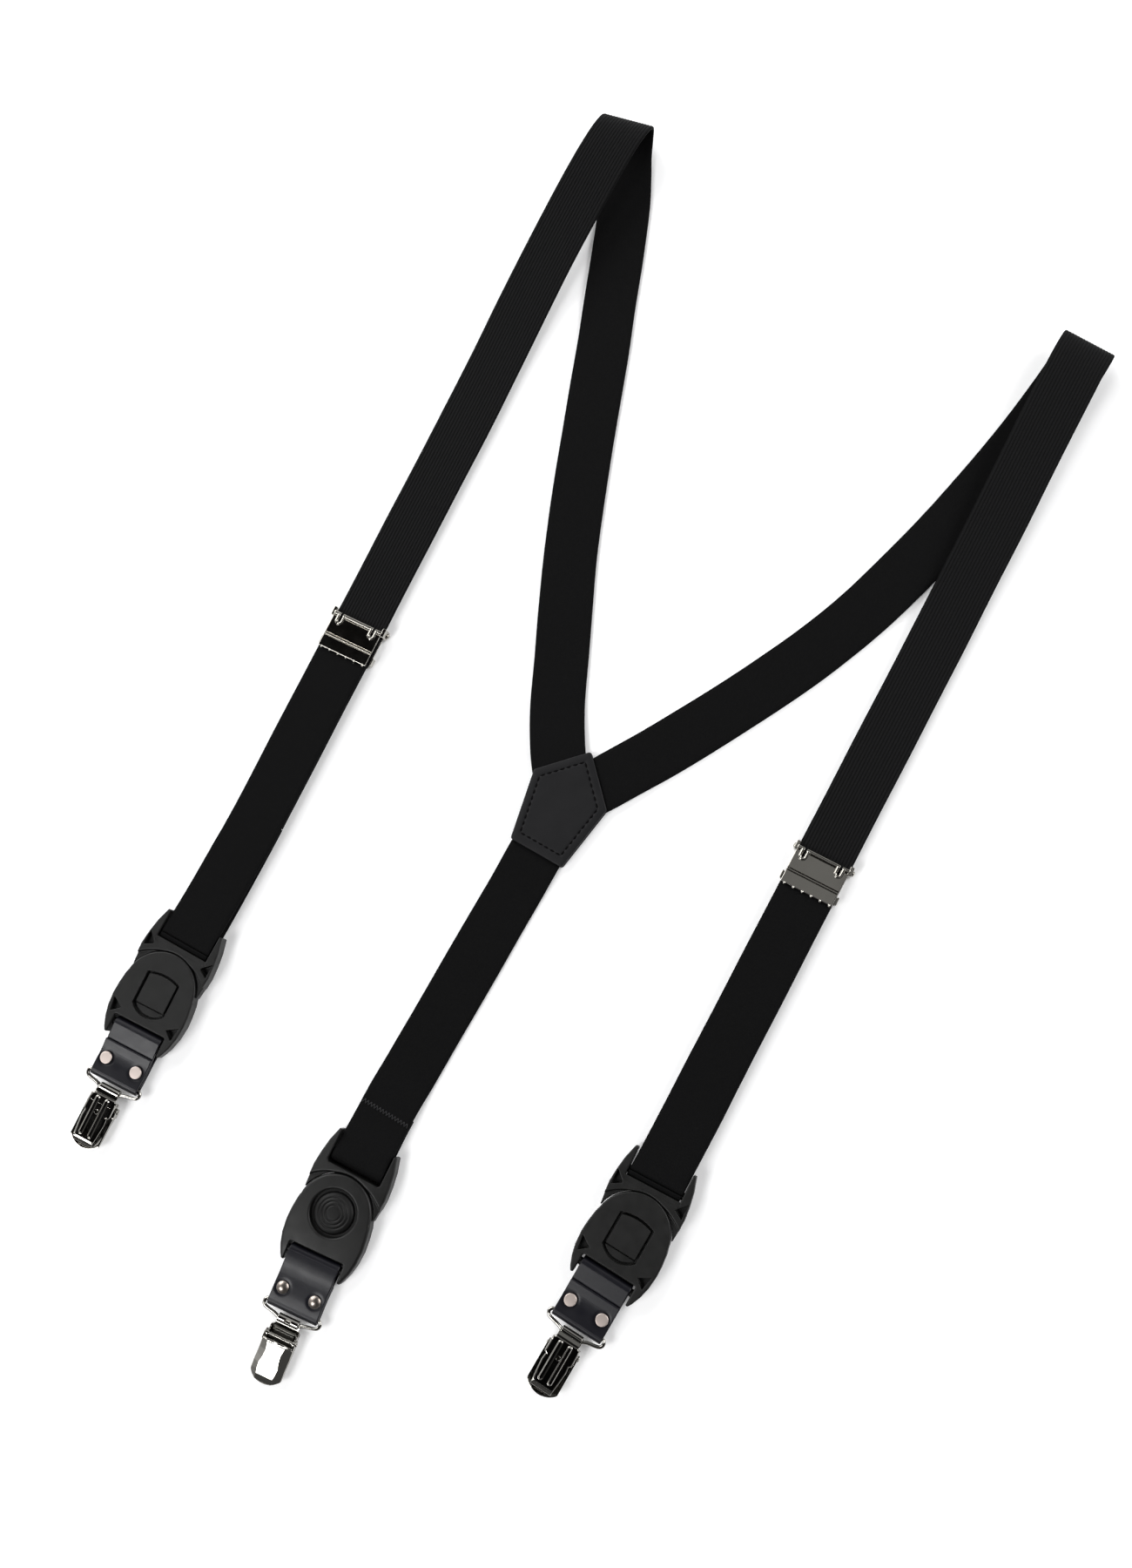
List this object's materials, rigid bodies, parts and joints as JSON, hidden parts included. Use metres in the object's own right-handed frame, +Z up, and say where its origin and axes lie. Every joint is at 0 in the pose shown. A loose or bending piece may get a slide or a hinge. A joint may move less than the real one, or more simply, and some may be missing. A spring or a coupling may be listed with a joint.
{
  "type": "y-back suspenders",
  "caption": "Y-back elastic suspenders with a leather patch, push-release buckles, leather tabs, wire rings, flip-lever clips and sliding strap adjusters.",
  "frame": {"origin": "centre of the laid-out suspenders' box, on the table", "axes": "+Z up from the table, +Y from the clips towards the shoulder folds, +X towards the right strap"},
  "size_m": [0.2852, 0.5806, 0.019],
  "materials": {
    "webbing_ribbed": "elastic webbing, fine lengthwise ribs",
    "webbing_smooth": "elastic webbing, flat close weave",
    "thread": "sewing thread",
    "patch_leather": "smooth pressed leather, semi gloss",
    "tab_leather": "smooth leather, semi gloss",
    "rivet_metal": "nickel, slightly warm",
    "spring_steel": "spring steel",
    "buckle_plastic": "fine moulded texture",
    "adjuster_metal": "black nickel",
    "jaw_metal": "black nickel, satin",
    "clip_metal": "black nickel"
  },
  "bodies": {
    "root": {"patch_front": "patch_leather", "patch_back": "patch_leather", "patch_stitches": "thread", "strap_left": "webbing_ribbed", "strap_right": "webbing_ribbed", "back_strap": "webbing_smooth", "back_seam": "thread"},
    "web_loop_left": {"loop_left": "webbing_ribbed", "return_left": "webbing_smooth"},
    "adjuster_left": {"adjuster_plate_left": "adjuster_metal", "adjuster_pin_left": "adjuster_metal"},
    "adjuster_lever_left": {"adjuster_lever_left": "adjuster_metal"},
    "web_loop_right": {"loop_right": "webbing_ribbed", "return_right": "webbing_smooth"},
    "adjuster_right": {"adjuster_plate_right": "adjuster_metal", "adjuster_pin_right": "adjuster_metal"},
    "adjuster_lever_right": {"adjuster_lever_right": "adjuster_metal"},
    "frame_left": {"buckle_frame_left": "buckle_plastic"},
    "tongue_left": {"swivel_tongue_left": "buckle_plastic"},
    "housing_left": {"buckle_housing_left": "buckle_plastic", "latch_spring_left": "spring_steel"},
    "button_left": {"release_button_left": "buckle_plastic"},
    "tab_left": {"leather_tab_left": "tab_leather", "tab_rivets_left": "rivet_metal"},
    "ring_left": {"wire_ring_left": "clip_metal"},
    "clip_left": {"clip_plate_left": "clip_metal", "clip_pin_left": "clip_metal"},
    "clip_jaw_left": {"clip_jaw_left": "jaw_metal"},
    "clip_lever_left": {"clip_lever_left": "clip_metal"},
    "frame_right": {"buckle_frame_right": "buckle_plastic"},
    "tongue_right": {"swivel_tongue_right": "buckle_plastic"},
    "housing_right": {"buckle_housing_right": "buckle_plastic", "latch_spring_right": "spring_steel"},
    "button_right": {"release_button_right": "buckle_plastic"},
    "tab_right": {"leather_tab_right": "tab_leather", "tab_rivets_right": "rivet_metal"},
    "ring_right": {"wire_ring_right": "clip_metal"},
    "clip_right": {"clip_plate_right": "clip_metal", "clip_pin_right": "clip_metal"},
    "clip_jaw_right": {"clip_jaw_right": "jaw_metal"},
    "clip_lever_right": {"clip_lever_right": "clip_metal"},
    "frame_back": {"buckle_frame_back": "buckle_plastic"},
    "tongue_back": {"swivel_tongue_back": "buckle_plastic"},
    "housing_back": {"buckle_housing_back": "buckle_plastic", "latch_spring_back": "spring_steel"},
    "button_back": {"release_button_back": "buckle_plastic"},
    "tab_back": {"leather_tab_back": "tab_leather", "tab_rivets_back": "rivet_metal"},
    "ring_back": {"wire_ring_back": "clip_metal"},
    "clip_back": {"clip_plate_back": "clip_metal", "clip_pin_back": "clip_metal"},
    "clip_jaw_back": {"clip_jaw_back": "jaw_metal"},
    "clip_lever_back": {"clip_lever_back": "clip_metal"}
  },
  "joints": [
    {"name": "strap_length_left", "type": "slide", "parent": "root", "child": "web_loop_left", "axis": [-0.0593, 0.9982, 0], "range_m": [-0.04, 0.05], "deforming": ["loop_left", "return_left"]},
    {"name": "adjuster_slide_left", "type": "slide", "parent": "web_loop_left", "child": "adjuster_left", "axis": [-0.0593, 0.9982, 0], "range_m": [-0.04, 0.05], "deforming": ["loop_left", "return_left"]},
    {"name": "adjuster_flip_left", "type": "hinge", "parent": "adjuster_left", "child": "adjuster_lever_left", "pos_m": [-0.11882, 0.01816, 0.00135], "axis": [0.9982, 0.0593, 0], "range_deg": [0, 95]},
    {"name": "strap_length_right", "type": "slide", "parent": "root", "child": "web_loop_right", "axis": [-0.0305, 0.9995, 0], "range_m": [-0.04, 0.034], "deforming": ["loop_right", "return_right"]},
    {"name": "adjuster_slide_right", "type": "slide", "parent": "web_loop_right", "child": "adjuster_right", "axis": [-0.0305, 0.9995, 0], "range_m": [-0.04, 0.034], "deforming": ["loop_right", "return_right"]},
    {"name": "adjuster_flip_right", "type": "hinge", "parent": "adjuster_right", "child": "adjuster_lever_right", "pos_m": [0.11831, 0.02527, 0.00135], "axis": [0.9995, 0.0305, 0], "range_deg": [0, 95]},
    {"name": "buckle_swing_left", "type": "hinge", "parent": "web_loop_left", "child": "frame_left", "pos_m": [-0.11136, -0.14754, 0.0045], "axis": [-0.9997, -0.0262, 0], "range_deg": [-20, 20]},
    {"name": "housing_swivel_left", "type": "hinge", "parent": "frame_left", "child": "tongue_left", "pos_m": [-0.11075, -0.17073, 0.0049], "axis": [0, 0, 1], "range_deg": [-10.5, 5.5]},
    {"name": "buckle_release_left", "type": "slide", "parent": "tongue_left", "child": "housing_left", "axis": [0.0698, -0.9976, 0], "range_m": [0, 0.03], "deforming": ["latch_spring_left"]},
    {"name": "button_press_left", "type": "slide", "parent": "housing_left", "child": "button_left", "axis": [0, 0, 1], "range_m": [0, 0.0013], "stiffness_N_per_m": 500, "deforming": ["latch_spring_left"]},
    {"name": "tab_swing_left", "type": "hinge", "parent": "housing_left", "child": "tab_left", "pos_m": [-0.10925, -0.19218, 0.0045], "axis": [-0.9976, -0.0698, 0], "range_deg": [-25, 25]},
    {"name": "ring_swing_left", "type": "hinge", "parent": "tab_left", "child": "ring_left", "pos_m": [-0.10766, -0.21492, 0.0045], "axis": [-0.9976, -0.0698, 0], "range_deg": [-35, 35]},
    {"name": "clip_swing_left", "type": "hinge", "parent": "ring_left", "child": "clip_left", "pos_m": [-0.10729, -0.22021, 0.0045], "axis": [-0.9976, -0.0698, 0], "range_deg": [-45, 45]},
    {"name": "clip_flip_left", "type": "hinge", "parent": "clip_left", "child": "clip_lever_left", "pos_m": [-0.10676, -0.22779, 0.0033], "axis": [0.9976, 0.0698, 0], "range_deg": [0, 100]},
    {"name": "jaw_open_left", "type": "hinge", "parent": "clip_left", "child": "clip_jaw_left", "pos_m": [-0.10698, -0.2246, 0.0055], "axis": [0.9976, 0.0698, 0], "range_deg": [0, 11]},
    {"name": "buckle_swing_right", "type": "hinge", "parent": "web_loop_right", "child": "frame_right", "pos_m": [0.12304, -0.13126, 0.0045], "axis": [-0.9986, -0.0523, 0], "range_deg": [-20, 20]},
    {"name": "housing_swivel_right", "type": "hinge", "parent": "frame_right", "child": "tongue_right", "pos_m": [0.12425, -0.15443, 0.0049], "axis": [0, 0, 1], "range_deg": [-4, 12]},
    {"name": "buckle_release_right", "type": "slide", "parent": "tongue_right", "child": "housing_right", "axis": [-0.0175, -0.9998, 0], "range_m": [0, 0.03], "deforming": ["latch_spring_right"]},
    {"name": "button_press_right", "type": "slide", "parent": "housing_right", "child": "button_right", "axis": [0, 0, 1], "range_m": [0, 0.0013], "stiffness_N_per_m": 500, "deforming": ["latch_spring_right"]},
    {"name": "tab_swing_right", "type": "hinge", "parent": "housing_right", "child": "tab_right", "pos_m": [0.12387, -0.17593, 0.0045], "axis": [-0.9998, 0.0175, 0], "range_deg": [-25, 25]},
    {"name": "ring_swing_right", "type": "hinge", "parent": "tab_right", "child": "ring_right", "pos_m": [0.12348, -0.19872, 0.0045], "axis": [-0.9998, 0.0175, 0], "range_deg": [-35, 35]},
    {"name": "clip_swing_right", "type": "hinge", "parent": "ring_right", "child": "clip_right", "pos_m": [0.12338, -0.20402, 0.0045], "axis": [-0.9998, 0.0175, 0], "range_deg": [-45, 45]},
    {"name": "clip_flip_right", "type": "hinge", "parent": "clip_right", "child": "clip_lever_right", "pos_m": [0.12325, -0.21162, 0.0033], "axis": [0.9998, -0.0175, 0], "range_deg": [0, 100]},
    {"name": "jaw_open_right", "type": "hinge", "parent": "clip_right", "child": "clip_jaw_right", "pos_m": [0.12331, -0.20842, 0.0055], "axis": [0.9998, -0.0175, 0], "range_deg": [0, 11]},
    {"name": "buckle_swing_back", "type": "hinge", "parent": "root", "child": "frame_back", "pos_m": [0.00763, -0.19007, 0.004], "axis": [0.9981, 0.061, 0], "range_deg": [-20, 20]},
    {"name": "housing_swivel_back", "type": "hinge", "parent": "frame_back", "child": "tongue_back", "pos_m": [0.00905, -0.21323, 0.0036], "axis": [0, 0, 1], "range_deg": [-11.5, 4.5]},
    {"name": "buckle_release_back", "type": "slide", "parent": "tongue_back", "child": "housing_back", "axis": [0.1219, -0.9925, 0], "range_m": [0, 0.03], "deforming": ["latch_spring_back"]},
    {"name": "button_press_back", "type": "slide", "parent": "housing_back", "child": "button_back", "axis": [0, 0, -1], "range_m": [0, 0.0013], "stiffness_N_per_m": 500, "deforming": ["latch_spring_back"]},
    {"name": "tab_swing_back", "type": "hinge", "parent": "housing_back", "child": "tab_back", "pos_m": [0.01167, -0.23457, 0.004], "axis": [0.9925, 0.1219, 0], "range_deg": [-25, 25]},
    {"name": "ring_swing_back", "type": "hinge", "parent": "tab_back", "child": "ring_back", "pos_m": [0.01445, -0.2572, 0.004], "axis": [0.9925, 0.1219, 0], "range_deg": [-35, 35]},
    {"name": "clip_swing_back", "type": "hinge", "parent": "ring_back", "child": "clip_back", "pos_m": [0.0151, -0.26246, 0.004], "axis": [0.9925, 0.1219, 0], "range_deg": [-45, 45]},
    {"name": "clip_flip_back", "type": "hinge", "parent": "clip_back", "child": "clip_lever_back", "pos_m": [0.01602, -0.27, 0.0052], "axis": [-0.9925, -0.1219, 0], "range_deg": [0, 100]},
    {"name": "jaw_open_back", "type": "hinge", "parent": "clip_back", "child": "clip_jaw_back", "pos_m": [0.01563, -0.26683, 0.003], "axis": [-0.9925, -0.1219, 0], "range_deg": [0, 11]}
  ],
  "couplings": [
    {"joint": "adjuster_slide_left", "follows": "strap_length_left", "ratio": 1},
    {"joint": "adjuster_slide_right", "follows": "strap_length_right", "ratio": 1},
    {"joint": "jaw_open_left", "follows": "clip_flip_left", "ratio": 0.08},
    {"joint": "jaw_open_right", "follows": "clip_flip_right", "ratio": 0.08},
    {"joint": "jaw_open_back", "follows": "clip_flip_back", "ratio": 0.08}
  ]
}
